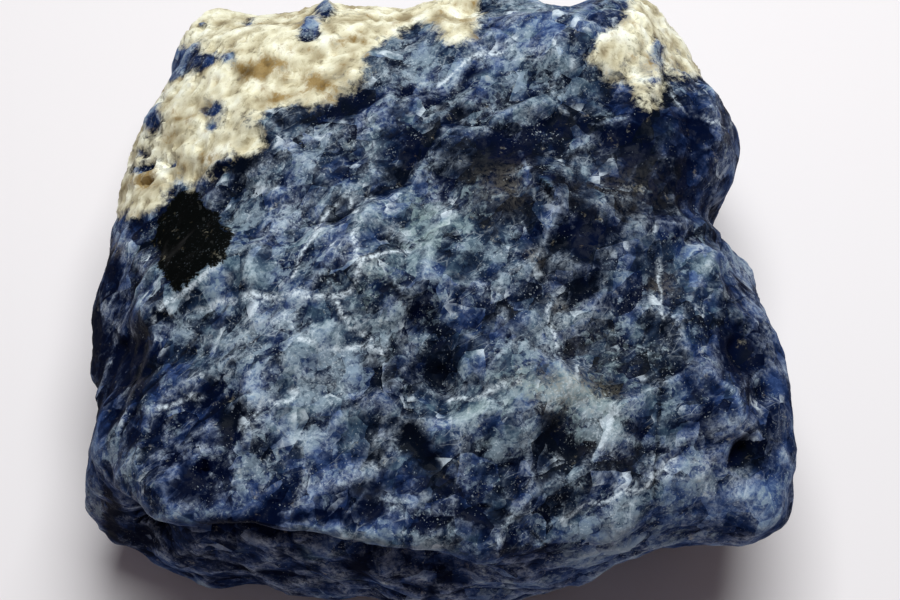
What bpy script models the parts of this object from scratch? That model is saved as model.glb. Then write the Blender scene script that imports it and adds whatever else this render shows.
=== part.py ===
# A rough lump of sodalite, one solid stone, lying on the flat break under it.
# Lengths are in millimetres until the mesh is placed. +X is right, +Y is back, +Z is up.
# The origin is on the resting face, under the middle of the stone.

import itertools

import bmesh
import bpy
import numpy as np

MM = 0.001

# Driving dimensions
STONE_HEIGHT = 29.5
BELT_HEIGHT = 13.0
RESTING_SKIM = 1.3
BELLY_LIFT = 3.5
TYPICAL_RADIUS = 34.0
TYPICAL_HALF_HEIGHT = 14.0

# The widest line round the stone, seen from above, anticlockwise from the right side.
# The notch between the two right-hand lobes is the point nearest the middle.
BELT = [
    (30.6, -8.0), (29.8, -3.6), (28.6, 0.4), (27.4, 3.6), (26.3, 6.0), (26.8, 9.0), (28.2, 14.0),
    (27.9, 17.4), (27.2, 20.6), (24.7, 23.6), (22.8, 27.4), (19.6, 30.6), (12.0, 28.0), (2.0, 28.6),
    (-9.3, 28.5), (-19.6, 29.2), (-26.2, 31.2), (-29.2, 28.0), (-28.8, 20.6), (-30.8, 16.0),
    (-33.3, 10.8), (-34.3, 6.0), (-34.6, -0.6), (-33.4, -8.2), (-32.4, -13.6), (-33.0, -18.2),
    (-32.0, -21.6), (-29.2, -25.4), (-24.0, -26.8), (-17.6, -27.8), (-9.0, -29.2), (0.0, -30.0),
    (9.0, -29.6), (17.0, -27.6), (24.0, -25.4), (29.0, -23.8), (31.8, -21.3), (32.6, -16.8),
    (31.5, -12.4),
]

# By bearing in degrees: how far inside the belt the crest of the stone and its foot lie.
CREST_INSET = [
    (-170, 6.0), (-152, 3.0), (-138, -2.0), (-129, -2.0), (-120, -1.2), (-110, -0.8), (-100, -0.4),
    (-92, -0.8), (-83, -1.6), (-74, -1.8), (-60, -0.8), (-45, 1.0), (-25, 3.2), (0, 5.5), (14, 4.0),
    (30, 4.8), (55, 3.0), (72, 2.4), (90, 1.0), (110, 1.6), (133, 0.5), (155, 4.0), (178, 6.5),
]
FOOT_INSET = [
    (-170, 1.5), (-155, -1.2), (-140, -2.0), (-125, -0.6), (-100, 0.0), (-80, 1.0), (-62, 1.6),
    (-46, 0.8), (-20, 3.0), (15, 1.5), (50, 3.5), (90, 2.0), (130, 3.5), (160, 2.0),
]
# By bearing: how many degrees the outline turns from the belt up to the crest.
OUTLINE_LEAN = [
    (-150, 1.0), (-110, 0.0), (-55, 0.0), (-20, 3.0), (12, 9.0), (45, 3.0), (95, -3.0), (150, 2.0),
]
# By bearing: how square the stone's edges are, from 4 for a worn edge to 20 for a fresh one.
EDGE_SQUARENESS = [
    (-175, 5.0), (-148, 8.0), (-132, 20.0), (-95, 20.0), (-75, 9.0), (-40, 6.0), (0, 5.0),
    (40, 5.0), (90, 7.0), (130, 6.0), (165, 5.0),
]

# Degrees over which the outline is smoothed, at the belt and at the foot.
BELT_SMOOTHING = 1.6
FOOT_SMOOTHING = 9.0

# The broad breaks that slope away from the top: a point on each, its downhill bearing and its fall.
TOP_BREAKS = [
    {"name": "pale back slope", "at": (-12.0, 15.0), "downhill": 116.0, "fall": 0.42},
    {"name": "left shoulder", "at": (-23.0, 0.0), "downhill": 184.0, "fall": 0.60},
    {"name": "upper right lobe", "at": (19.0, 13.0), "downhill": 18.0, "fall": 0.55},
    {"name": "lower right lobe", "at": (20.0, -10.0), "downhill": -22.0, "fall": 0.44},
    {"name": "front slope", "at": (0.0, -12.0), "downhill": -84.0, "fall": 0.20},
]
BREAK_ROUNDING = 1.1

# Flat breaks of the sides: which way each faces, how far that is above the level, and how far
# it lies from the middle of the belt.
SIDE_BREAKS = [
    {"name": "front left face", "bearing": -121.0, "tilt": -4.0, "distance": 35.8},
    {"name": "front under the ledge", "bearing": -96.0, "tilt": -9.0, "distance": 30.6},
    {"name": "front right underside", "bearing": -58.0, "tilt": -30.0, "distance": 29.6},
    {"name": "right underside", "bearing": -18.0, "tilt": -36.0, "distance": 28.6},
    {"name": "upper right underside", "bearing": 34.0, "tilt": -42.0, "distance": 27.8},
    {"name": "back underside", "bearing": 78.0, "tilt": -28.0, "distance": 27.8},
    {"name": "back left underside", "bearing": 118.0, "tilt": -40.0, "distance": 28.0},
    {"name": "back left corner", "bearing": 137.0, "tilt": -6.0, "distance": 38.2},
    {"name": "left underside", "bearing": 176.0, "tilt": -38.0, "distance": 27.6},
    {"name": "left upper bevel", "bearing": -172.0, "tilt": 34.0, "distance": 33.6},
    {"name": "right upper bevel", "bearing": -6.0, "tilt": 40.0, "distance": 29.6},
    {"name": "back right bevel", "bearing": 52.0, "tilt": 30.0, "distance": 36.6},
]
SIDE_BREAK_ROUNDING = 0.5

# Rises and hollows of the top: place, half-lengths along and across, turn in degrees, height.
TOP_FORMS = [
    {"name": "frosted swell", "at": (-9.5, -9.0), "reach": (9.0, 6.0), "turn": 20.0, "rise": 1.9},
    {"name": "swell by the ledge", "at": (-15.0, -20.5), "reach": (9.0, 3.5), "turn": 0.0, "rise": 1.2},
    {"name": "rib left of the valley", "at": (-3.0, 12.0), "reach": (11.0, 2.6), "turn": 42.0, "rise": 1.1},
    {"name": "diagonal valley", "at": (0.5, 14.5), "reach": (10.5, 2.3), "turn": 46.0, "rise": -2.1},
    {"name": "rib right of the valley", "at": (8.0, 17.0), "reach": (10.0, 4.0), "turn": 36.0, "rise": 1.5},
    {"name": "shadowed basin", "at": (12.5, 7.5), "reach": (8.0, 4.5), "turn": -20.0, "rise": -1.5},
    {"name": "middle rib", "at": (4.0, 0.0), "reach": (10.0, 2.6), "turn": 38.0, "rise": 1.0},
    {"name": "black hollow", "at": (-1.6, -15.0), "reach": (3.8, 2.2), "turn": -58.0, "rise": -2.7},
    {"name": "hollow beside it", "at": (11.0, -13.0), "reach": (4.2, 2.8), "turn": 20.0, "rise": -1.4},
    {"name": "black flat", "at": (-24.0, 4.8), "reach": (4.4, 5.0), "turn": -20.0, "rise": -2.1},
    {"name": "hollow by the swell", "at": (-20.5, -11.5), "reach": (5.0, 3.0), "turn": 25.0, "rise": -2.0},
    {"name": "upper pit of the lobe", "at": (28.0, -5.0), "reach": (1.9, 2.5), "turn": 15.0, "rise": -2.0},
    {"name": "lower pit of the lobe", "at": (27.6, -14.4), "reach": (1.6, 1.9), "turn": 0.0, "rise": -1.9},
    {"name": "lip of the right lobe", "at": (24.5, -18.2), "reach": (5.0, 1.7), "turn": -6.0, "rise": 1.1},
    {"name": "furrow above the lip", "at": (19.5, -21.0), "reach": (6.5, 1.5), "turn": 16.0, "rise": -0.9},
]

# Rises and hollows of the sides: bearing, height, reach round the stone and up it, how much each
# climbs with each degree of bearing, and how far it stands out.
SIDE_FORMS = [
    {"name": "undercut below the ledge", "bearing": -121.0, "height": 21.6, "reach": (17.0, 3.2),
     "climb": 0.03, "rise": -3.2},
    {"name": "undercut going on", "bearing": -98.0, "height": 21.2, "reach": (11.0, 3.2),
     "climb": -0.14, "rise": -2.6},
    {"name": "foot of the front", "bearing": -112.0, "height": 6.0, "reach": (16.0, 5.0), "climb": 0.1,
     "rise": 1.2},
    {"name": "left corner rib", "bearing": -149.0, "height": 14.0, "reach": (4.0, 11.0), "climb": 0.9,
     "rise": 1.0},
    {"name": "groove behind the rib", "bearing": -139.0, "height": 13.0, "reach": (3.5, 9.0), "climb": 0.7,
     "rise": -1.2},
    {"name": "right notch", "bearing": 12.0, "height": 17.0, "reach": (5.0, 7.0), "climb": -1.4,
     "rise": -1.4},
    {"name": "shelf under the notch", "bearing": 3.0, "height": 8.0, "reach": (9.0, 3.5), "climb": 0.25,
     "rise": 1.4},
    {"name": "back hollow", "bearing": 98.0, "height": 9.0, "reach": (14.0, 5.5), "climb": 0.12,
     "rise": -2.4},
    {"name": "back shelf", "bearing": 68.0, "height": 14.0, "reach": (10.0, 3.0), "climb": -0.2,
     "rise": 1.6},
    {"name": "left scoop", "bearing": 172.0, "height": 9.0, "reach": (9.0, 4.5), "climb": 0.3,
     "rise": -1.8},
    {"name": "back left shoulder", "bearing": 138.0, "height": 11.0, "reach": (8.0, 5.0), "climb": -0.3,
     "rise": 1.2},
    {"name": "right scoop", "bearing": -12.0, "height": 5.5, "reach": (12.0, 3.5), "climb": -0.2,
     "rise": -1.8},
    {"name": "front right undercut", "bearing": -62.0, "height": 8.0, "reach": (16.0, 5.0), "climb": 0.12,
     "rise": -2.0},
]

# Broken surface, coarse to fine: size of a break, how far it stands out, and its seed.
LUMPS = [(17.0, 0.85, 11), (8.0, 0.40, 12)]
CHIPS = [(13.0, 3.0, 21), (6.5, 2.3, 22)]
CHIP_SHARPNESS = 10.0
LEAN_SEED = 500
LEVEL_SEED = 900
GRAIN_TURN = 38.0
GRAIN_STRETCH = 1.7
SIDE_CALM = 0.4

# Squares along the top and up the sides of the block that the stone is cut from.
TOP_SQUARES = 34
SIDE_SQUARES = 15


def scatter(cells, seed):
    """Three repeatable numbers from 0 to 1 for each whole-number cell of space."""
    mixed = (cells @ np.array([73856093, 19349663, 83492791]) + seed * 1013904223) & 0xFFFFFFFF
    found = []
    for _ in range(3):
        mixed = ((mixed ^ (mixed >> 15)) * 668265263) & 0xFFFFFFFF
        mixed = ((mixed ^ (mixed >> 13)) * 374761393) & 0xFFFFFFFF
        mixed = mixed ^ (mixed >> 16)
        found.append(mixed / 4294967296.0)
    return np.stack(found, axis=1)


def lumps(points, size, seed):
    """Smooth gradient noise, about -1 to 1, with swells about `size` across."""
    scaled = points / size
    home = np.floor(scaled).astype(np.int64)
    inside = scaled - home
    fade = inside**3 * (inside * (inside * 6 - 15) + 10)
    total = np.zeros(len(points))
    for corner in itertools.product((0, 1), repeat=3):
        slope = scatter(home + corner, seed) * 2 - 1
        share = np.prod(np.where(corner, fade, 1 - fade), axis=1)
        total += share * ((inside - corner) * slope).sum(axis=1)
    return total * 1.6


def chips(points, size, seed):
    """Tilted flats about `size` across, as on a fresh break. Each has its own lean and level."""
    scaled = points / size
    home = np.floor(scaled).astype(np.int64)
    total = np.zeros(len(points))
    weight = np.full(len(points), 1e-12)
    for step in itertools.product((-1, 0, 1), repeat=3):
        cells = home + step
        away = scaled - cells - scatter(cells, seed)
        near = np.exp(-CHIP_SHARPNESS * (away**2).sum(axis=1))
        lean = scatter(cells, seed + LEAN_SEED) - 0.5
        level = scatter(cells, seed + LEVEL_SEED)[:, 0] - 0.5
        total += near * (0.5 * level + (away * lean).sum(axis=1))
        weight += near
    return total / weight


def round_table(pairs, bearing, smoothing=5.0):
    """A value at each bearing, from a few (bearing, value) pairs, joined by smooth curves."""
    degrees = np.arange(360.0)
    known = np.array(pairs)
    values = np.interp(degrees, known[:, 0], known[:, 1], period=360)
    window = np.exp(-0.5 * (np.minimum(degrees, 360 - degrees) / smoothing) ** 2)
    smooth = np.fft.ifft(np.fft.fft(values) * np.fft.fft(window / window.sum())).real
    return np.interp(np.degrees(bearing), degrees, smooth, period=360)


def outline_radius(bearing, smoothing):
    """Distance from the axis to the outline of the belt, more or less smoothed."""
    outline = np.array(BELT)
    pairs = np.stack([np.degrees(np.arctan2(outline[:, 1], outline[:, 0])), np.hypot(*outline.T)], axis=1)
    return round_table(pairs, bearing, smoothing)


def top_height(x, y):
    """The lowest of the broad breaks, blended where they meet, with the rises and hollows on them."""
    levels = [np.full_like(x, STONE_HEIGHT)]
    for cut in TOP_BREAKS:
        turn = np.radians(cut["downhill"])
        along = (x - cut["at"][0]) * np.cos(turn) + (y - cut["at"][1]) * np.sin(turn)
        levels.append(STONE_HEIGHT - cut["fall"] * along)
    lowest = -BREAK_ROUNDING * np.log(sum(np.exp(-level / BREAK_ROUNDING) for level in levels))
    for form in TOP_FORMS:
        turn = np.radians(form["turn"])
        dx, dy = x - form["at"][0], y - form["at"][1]
        along = (dx * np.cos(turn) + dy * np.sin(turn)) / form["reach"][0]
        across = (dy * np.cos(turn) - dx * np.sin(turn)) / form["reach"][1]
        lowest = lowest + form["rise"] * np.exp(-(along**2 + across**2))
    return lowest


def cut_back(points):
    """Slices the sides off along their flat breaks, with a slight rounding along each cut's edge."""
    middle = np.array([0.0, 0.0, BELT_HEIGHT])
    for cut in SIDE_BREAKS:
        turn, tilt = np.radians(cut["bearing"]), np.radians(cut["tilt"])
        facing = np.array([np.cos(turn) * np.cos(tilt), np.sin(turn) * np.cos(tilt), np.sin(tilt)])
        over = (points - middle) @ facing - cut["distance"]
        over = SIDE_BREAK_ROUNDING * np.logaddexp(0.0, over / SIDE_BREAK_ROUNDING)
        points = points - over[:, None] * facing
    return points


def side_relief(bearing, height):
    """How far the sides stand out or in, from their own rises and hollows."""
    total = np.zeros_like(bearing)
    for form in SIDE_FORMS:
        turn = (np.degrees(bearing) - form["bearing"] + 180) % 360 - 180
        round_it = turn / form["reach"][0]
        up_it = (height - form["height"] - form["climb"] * turn) / form["reach"][1]
        total += form["rise"] * np.exp(-(round_it**2 + up_it**2))
    return total


def broken_surface(points, lump_sizes, chip_sizes):
    """Height of the broken skin over the plain form, with the grain of the stone drawn out one way."""
    turn = np.radians(GRAIN_TURN)
    along = points[:, 0] * np.cos(turn) + points[:, 1] * np.sin(turn)
    across = points[:, 1] * np.cos(turn) - points[:, 0] * np.sin(turn)
    drawn_out = np.stack([along / GRAIN_STRETCH, across, points[:, 2]], axis=1)
    total = np.zeros(len(points))
    for size, stands_out, seed in lump_sizes:
        total += stands_out * lumps(points, size, seed)
    for size, stands_out, seed in chip_sizes:
        total += stands_out * chips(drawn_out, size, seed)
    return total


def stone_points(block, lump_sizes, chip_sizes):
    """Carries points of a block, from -1 to 1 each way, to the stone's surface, in millimetres.

    Squares of the block become rings of the outline, its upright edges are rounded over as a
    superellipse, and the broken skin is then added square to that form.
    """
    warped = np.tan(block[:, :2] * np.pi / 4)
    bearing = np.arctan2(warped[:, 1], warped[:, 0])
    ring = np.abs(block[:, :2]).max(axis=1)
    level = block[:, 2]
    square = round_table(EDGE_SQUARENESS, bearing)
    shrink = (ring**square + np.abs(level) ** square) ** (-1 / square)
    ring, level = ring * shrink, level * shrink

    inset = np.where(level > 0, round_table(CREST_INSET, bearing), round_table(FOOT_INSET, bearing))
    low_share = np.clip(-level, 0, 1)
    turned = bearing + np.radians(round_table(OUTLINE_LEAN, bearing)) * level
    radius = outline_radius(turned, BELT_SMOOTHING) * (1 - low_share)
    radius += outline_radius(turned, FOOT_SMOOTHING) * low_share
    radius -= inset * level**2
    outward = np.stack([np.cos(bearing), np.sin(bearing)], axis=1)
    x, y = (outward * (ring * radius)[:, None]).T
    depth = BELT_HEIGHT + RESTING_SKIM - BELLY_LIFT * ring**4
    up = level * np.where(level > 0, top_height(x, y) - BELT_HEIGHT, depth)
    plain = cut_back(np.stack([x, y, BELT_HEIGHT + up], axis=1))

    sideways = (ring ** (square - 1))[:, None] * outward / TYPICAL_RADIUS
    upright = np.sign(level) * np.abs(level) ** (square - 1) / TYPICAL_HALF_HEIGHT
    square_to = np.concatenate([sideways, upright[:, None]], axis=1)
    square_to /= np.linalg.norm(square_to, axis=1)[:, None]

    side_share = np.linalg.norm(square_to[:, :2], axis=1) ** 2
    relief = broken_surface(plain, lump_sizes, chip_sizes) * (1 - SIDE_CALM * side_share)
    relief += side_share * side_relief(bearing, plain[:, 2])
    points = plain + square_to * relief[:, None]
    points[:, 2] = np.maximum(points[:, 2], 0.0)
    return points


def block_mesh():
    """A cube cut into squares: the block that the stone is carried out of."""
    block = bmesh.new()
    bmesh.ops.create_cube(block, size=2.0)
    counts = (TOP_SQUARES, TOP_SQUARES, SIDE_SQUARES)
    for axis, count in enumerate(counts):
        for cut in np.linspace(-1, 1, count + 1)[1:-1]:
            place, normal = np.zeros(3), np.zeros(3)
            place[axis], normal[axis] = cut, 1.0
            everything = block.verts[:] + block.edges[:] + block.faces[:]
            bmesh.ops.bisect_plane(block, geom=everything, plane_co=place, plane_no=normal)
    mesh = bpy.data.meshes.new("sodalite")
    block.to_mesh(mesh)
    block.free()
    return mesh


def centred(points):
    """Moves the stone so that the origin is under the middle of it."""
    low, high = points.min(axis=0), points.max(axis=0)
    return points - [(low[0] + high[0]) / 2, (low[1] + high[1]) / 2, 0.0]


def stone_material():
    """Dull deep blue, the colour of most of the stone."""
    material = bpy.data.materials.new("sodalite_blue")
    material.use_nodes = True
    shader = material.node_tree.nodes["Principled BSDF"]
    shader.inputs["Base Color"].default_value = (0.045, 0.075, 0.19, 1.0)
    shader.inputs["Roughness"].default_value = 0.35
    shader.inputs["Metallic"].default_value = 0.0
    return material


def clear_scene():
    for old in list(bpy.data.objects):
        bpy.data.objects.remove(old, do_unlink=True)


def build_stone():
    mesh = block_mesh()
    block = np.empty(len(mesh.vertices) * 3)
    mesh.vertices.foreach_get("co", block)
    points = centred(stone_points(block.reshape(-1, 3), LUMPS, CHIPS))
    mesh.vertices.foreach_set("co", (points * MM).ravel())
    mesh.update()
    mesh.shade_smooth()
    mesh.set_sharp_from_angle(angle=np.radians(40))
    mesh.materials.append(stone_material())
    stone = bpy.data.objects.new("sodalite", mesh)
    pieces = bpy.data.collections.new("sodalite specimen")
    bpy.context.scene.collection.children.link(pieces)
    pieces.objects.link(stone)
    return stone


clear_scene()
build_stone()
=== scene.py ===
import itertools

import bpy
import numpy as np
from mathutils import Matrix


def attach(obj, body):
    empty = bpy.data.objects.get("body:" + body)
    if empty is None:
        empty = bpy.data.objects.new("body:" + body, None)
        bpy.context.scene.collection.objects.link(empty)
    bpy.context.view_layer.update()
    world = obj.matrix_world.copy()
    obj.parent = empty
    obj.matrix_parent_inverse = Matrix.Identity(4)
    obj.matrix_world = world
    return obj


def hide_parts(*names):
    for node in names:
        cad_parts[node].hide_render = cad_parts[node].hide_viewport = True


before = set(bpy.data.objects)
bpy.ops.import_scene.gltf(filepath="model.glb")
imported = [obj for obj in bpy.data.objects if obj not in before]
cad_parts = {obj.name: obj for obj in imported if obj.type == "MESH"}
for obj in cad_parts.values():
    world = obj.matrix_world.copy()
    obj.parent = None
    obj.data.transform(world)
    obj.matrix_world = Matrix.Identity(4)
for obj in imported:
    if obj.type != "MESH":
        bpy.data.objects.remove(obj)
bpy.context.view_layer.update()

mm = 0.001


def addObject(name, data, axes=None, place=None):
    # links it to the scene: axes are its own x, y and z as unit vectors, and place is where it stands
    made = bpy.data.objects.new(name, data)
    if axes is not None:
        rows = [[*row, at] for row, at in zip(np.transpose(axes), place)]
        made.matrix_world = Matrix(rows + [[0, 0, 0, 1]])
    bpy.context.scene.collection.objects.link(made)
    return made


# camera

camera = {
    "imageSize": (900, 600),  # pixels of the photograph
    "elevation": 64.0,  # degrees above the level
    "lens": 70.0,
    "sensor": 36.0,
    "clip": (0.005, 10.0),  # metres
    "distance": 171.6,  # mm from the point that it looks at
    "target": (1.0, -1.7, 15.0),
}


def cameraFrame():
    # unit vectors to the right, up in the picture and forwards, and the camera's place in mm
    tilt = np.radians(camera["elevation"])
    right = np.array([1.0, 0.0, 0.0])
    upward = np.array([0.0, np.sin(tilt), np.cos(tilt)])
    forward = np.array([0.0, np.cos(tilt), -np.sin(tilt)])
    return right, upward, forward, np.array(camera["target"]) - camera["distance"] * forward


def makeCamera():
    right, upward, forward, place = cameraFrame()
    data = bpy.data.cameras.new("camera")
    data.lens = camera["lens"]
    data.sensor_width = camera["sensor"]
    data.clip_start, data.clip_end = camera["clip"]
    view = addObject("camera", data, (right, upward, -forward), place * mm)
    bpy.context.scene.camera = view
    print("camera placed")


def photoPixels(points):
    # pixel of each point: its offsets right and up over its distance ahead, times the focal length
    right, upward, forward, place = cameraFrame()
    offset = points - place
    wide, high = camera["imageSize"]
    focal = wide * camera["lens"] / camera["sensor"]
    ahead = offset @ forward
    across = wide / 2 + focal * (offset @ right) / ahead
    down = high / 2 - focal * (offset @ upward) / ahead
    return np.stack([across, down], axis=1), ahead


# the stone's form, in millimetres: +x right, +y back, +z up

stone = {
    "height": 29.5,
    "beltHeight": 13.0,
    "restingSkim": 1.3,
    "bellyLift": 3.5,
    "typicalRadius": 34.0,
    "typicalHalfHeight": 14.0,
    # the widest line round the stone, anticlockwise from the right side
    "belt": [
        (30.6, -8.0), (29.8, -3.6), (28.6, 0.4), (27.4, 3.6), (26.3, 6.0), (26.8, 9.0),
        (28.2, 14.0), (27.9, 17.4), (27.2, 20.6), (24.7, 23.6), (22.8, 27.4), (19.6, 30.6),
        (12.0, 28.0), (2.0, 28.6), (-9.3, 28.5), (-19.6, 29.2), (-26.2, 31.2), (-29.2, 28.0),
        (-28.8, 20.6), (-30.8, 16.0), (-33.3, 10.8), (-34.3, 6.0), (-34.6, -0.6), (-33.4, -8.2),
        (-32.4, -13.6), (-33.0, -18.2), (-32.0, -21.6), (-29.2, -25.4), (-24.0, -26.8),
        (-17.6, -27.8), (-9.0, -29.2), (0.0, -30.0), (9.0, -29.6), (17.0, -27.6), (24.0, -25.4),
        (29.0, -23.8), (31.8, -21.3), (32.6, -16.8), (31.5, -12.4),
    ],
    # by bearing in degrees: how far inside the belt the crest and the foot lie
    "crestInset": [
        (-170, 6.0), (-152, 3.0), (-138, -2.0), (-129, -2.0), (-120, -1.2), (-110, -0.8),
        (-100, -0.4), (-92, -0.8), (-83, -1.6), (-74, -1.8), (-60, -0.8), (-45, 1.0), (-25, 3.2),
        (0, 5.5), (14, 4.0), (30, 4.8), (55, 3.0), (72, 2.4), (90, 1.0), (110, 1.6), (133, 0.5),
        (155, 4.0), (178, 6.5),
    ],
    "footInset": [
        (-170, 1.5), (-155, -1.2), (-140, -2.0), (-125, -0.6), (-100, 0.0), (-80, 1.0), (-62, 1.6),
        (-46, 0.8), (-20, 3.0), (15, 1.5), (50, 3.5), (90, 2.0), (130, 3.5), (160, 2.0),
    ],
    # by bearing: how many degrees the outline turns from the belt up to the crest
    "outlineLean": [
        (-150, 1.0), (-110, 0.0), (-55, 0.0), (-20, 3.0), (12, 9.0), (45, 3.0), (95, -3.0),
        (150, 2.0),
    ],
    # by bearing: from 4 for a worn edge to 20 for a fresh one
    "edgeSquareness": [
        (-175, 5.0), (-148, 8.0), (-132, 20.0), (-95, 20.0), (-75, 9.0), (-40, 6.0), (0, 5.0),
        (40, 5.0), (90, 7.0), (130, 6.0), (165, 5.0),
    ],
    "beltSmoothing": 1.6,  # degrees
    "footSmoothing": 9.0,
    # breaks that slope away from the top: a point on each, its downhill bearing and its fall
    "topBreaks": [
        ("pale back slope", (-12.0, 15.0), 116.0, 0.42),
        ("left shoulder", (-23.0, 0.0), 184.0, 0.6),
        ("upper right lobe", (19.0, 13.0), 18.0, 0.55),
        ("lower right lobe", (20.0, -10.0), -22.0, 0.44),
        ("front slope", (0.0, -12.0), -84.0, 0.2),
    ],
    "breakRounding": 1.1,
    # flat breaks of the sides: bearing, tilt above the level, distance from the middle of the belt
    "sideBreaks": [
        ("front left face", -121.0, -4.0, 35.8),
        ("front under the ledge", -96.0, -9.0, 30.6),
        ("front right underside", -58.0, -30.0, 29.6),
        ("right underside", -18.0, -36.0, 28.6),
        ("upper right underside", 34.0, -42.0, 27.8),
        ("back underside", 78.0, -28.0, 27.8),
        ("back left underside", 118.0, -40.0, 28.0),
        ("back left corner", 137.0, -6.0, 38.2),
        ("left underside", 176.0, -38.0, 27.6),
        ("left upper bevel", -172.0, 34.0, 33.6),
        ("right upper bevel", -6.0, 40.0, 29.6),
        ("back right bevel", 52.0, 30.0, 36.6),
    ],
    "sideBreakRounding": 0.5,
    # rises and hollows of the top: place, half-lengths along and across, turn, height
    "topForms": [
        ("frosted swell", (-9.5, -9.0), (9.0, 6.0), 20.0, 1.9),
        ("swell by the ledge", (-15.0, -20.5), (9.0, 3.5), 0.0, 1.2),
        ("rib left of the valley", (-3.0, 12.0), (11.0, 2.6), 42.0, 1.1),
        ("diagonal valley", (0.5, 14.5), (10.5, 2.3), 46.0, -2.1),
        ("rib right of the valley", (8.0, 17.0), (10.0, 4.0), 36.0, 1.5),
        ("shadowed basin", (12.5, 7.5), (8.0, 4.5), -20.0, -1.5),
        ("middle rib", (4.0, 0.0), (10.0, 2.6), 38.0, 1.0),
        ("black hollow", (-1.6, -15.0), (3.8, 2.2), -58.0, -2.7),
        ("hollow beside it", (11.0, -13.0), (4.2, 2.8), 20.0, -1.4),
        ("black flat", (-24.0, 4.8), (4.4, 5.0), -20.0, -2.1),
        ("hollow under the flat", (-20.5, -11.5), (5.0, 3.0), 25.0, -2.0),
        ("upper pit of the right lobe", (28.0, -5.0), (1.9, 2.5), 15.0, -2.0),
        ("lower pit of the right lobe", (27.6, -14.4), (1.6, 1.9), 0.0, -1.9),
        ("lip of the right lobe", (24.5, -18.2), (5.0, 1.7), -6.0, 1.1),
        ("furrow above the lip", (19.5, -21.0), (6.5, 1.5), 16.0, -0.9),
    ],
    # rises and hollows of the sides: bearing, height, reach round and up, climb per degree, height
    "sideForms": [
        ("undercut below the ledge", -121.0, 21.6, (17.0, 3.2), 0.03, -3.2),
        ("undercut going on", -98.0, 21.2, (11.0, 3.2), -0.14, -2.6),
        ("foot of the front", -112.0, 6.0, (16.0, 5.0), 0.1, 1.2),
        ("left corner rib", -149.0, 14.0, (4.0, 11.0), 0.9, 1.0),
        ("groove behind the rib", -139.0, 13.0, (3.5, 9.0), 0.7, -1.2),
        ("right notch", 12.0, 17.0, (5.0, 7.0), -1.4, -1.4),
        ("shelf under the notch", 3.0, 8.0, (9.0, 3.5), 0.25, 1.4),
        ("back hollow", 98.0, 9.0, (14.0, 5.5), 0.12, -2.4),
        ("back shelf", 68.0, 14.0, (10.0, 3.0), -0.2, 1.6),
        ("left scoop", 172.0, 9.0, (9.0, 4.5), 0.3, -1.8),
        ("back left shoulder", 138.0, 11.0, (8.0, 5.0), -0.3, 1.2),
        ("right scoop", -12.0, 5.5, (12.0, 3.5), -0.2, -1.8),
        ("front right undercut", -62.0, 8.0, (16.0, 5.0), 0.12, -2.0),
    ],
    "lumps": [(17.0, 0.85, 11), (8.0, 0.40, 12)],  # size, how far it stands out, seed
    "chips": [(13.0, 3.0, 21), (6.5, 2.3, 22)],
    "chipSharpness": 7.0,
    "grainTurn": 38.0,
    "grainStretch": 1.7,
    "sideCalm": 0.4,
    "cadSquares": (34, 15),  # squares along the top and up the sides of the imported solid
    "topSquares": 190,
    "sideSquares": 62,
    "underSquares": 38,
}

# the finest breaks, which only show close up
skin = {
    # size of a facet, how high, 1 where the creases stand up and -1 where they sink, seed, share of the
    # creases' and facets' tones
    "facets": [(6.2, 2.3, 1, 41, 0.48), (3.0, 1.25, -1, 42, 0.32), (1.5, 0.50, 1, 43, 0.20)],
    "bowl": 0.75,  # how hollow a facet is
    "step": 0.35,  # how far facets lie over and under each other
    "creaseWidth": 0.09,
    "grainStretch": 1.2,
    # how much calmer the relief is on the calcite, the black patch, the sides and the rubbed edges
    "calm": {"calcite": 0.55, "black": 0.75, "sides": 0.35, "worn": 0.7},
    "grit": (0.8, 0.05, 44),
    "sugar": (1.15, 0.26, 45),  # the rounded grains of the calcite
    "fuller": 0.85,
    "pitDepth": 1.0,
    "hollow": 0.25,
    "crackDepth": 0.22,
    "ridgeRounds": (12, 120),  # rounds of averaging that find the fine ridges, and the broad swells
    "sharpAngle": 32.0,  # degrees
}


def sharpen(values, low, high):
    # 0 below low, 1 above high, and a smooth curve between
    share = np.clip((values - low) / (high - low), 0, 1)
    return share * share * (3 - 2 * share)


def alongAcross(dx, dy, degrees):
    # how far an offset goes along a direction turned that many degrees from x, and across it
    turn = np.radians(degrees)
    return dx * np.cos(turn) + dy * np.sin(turn), dy * np.cos(turn) - dx * np.sin(turn)


def bell(dx, dy, reach, degrees):
    # 1 in the middle, and falling off by the distance along and across in half-lengths
    along, across = alongAcross(dx, dy, degrees)
    return np.exp(-((along / reach[0]) ** 2 + (across / reach[1]) ** 2))


def scatter(cells, seed):
    # three repeatable numbers from 0 to 1 for each whole-number cell, by mixing the bits of its index
    mixed = (cells @ np.array([73856093, 19349663, 83492791]) + seed * 1013904223) & 0xFFFFFFFF
    found = []
    for _ in range(3):
        mixed = ((mixed ^ (mixed >> 15)) * 668265263) & 0xFFFFFFFF
        mixed = ((mixed ^ (mixed >> 13)) * 374761393) & 0xFFFFFFFF
        mixed = mixed ^ (mixed >> 16)
        found.append(mixed / 4294967296.0)
    return np.stack(found, axis=1)


def lumps(points, size, seed):
    # gradient noise: a random slope at each corner of a cubic lattice, blended by a smooth fade
    scaled = points / size
    home = np.floor(scaled).astype(np.int64)
    inside = scaled - home
    fade = inside**3 * (inside * (inside * 6 - 15) + 10)
    total = np.zeros(len(points))
    for corner in itertools.product((0, 1), repeat=3):
        slope = scatter(home + corner, seed) * 2 - 1
        share = np.prod(np.where(corner, fade, 1 - fade), axis=1)
        total += share * ((inside - corner) * slope).sum(axis=1)
    return total * 1.6  # so that it reaches about 1 either way


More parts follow.
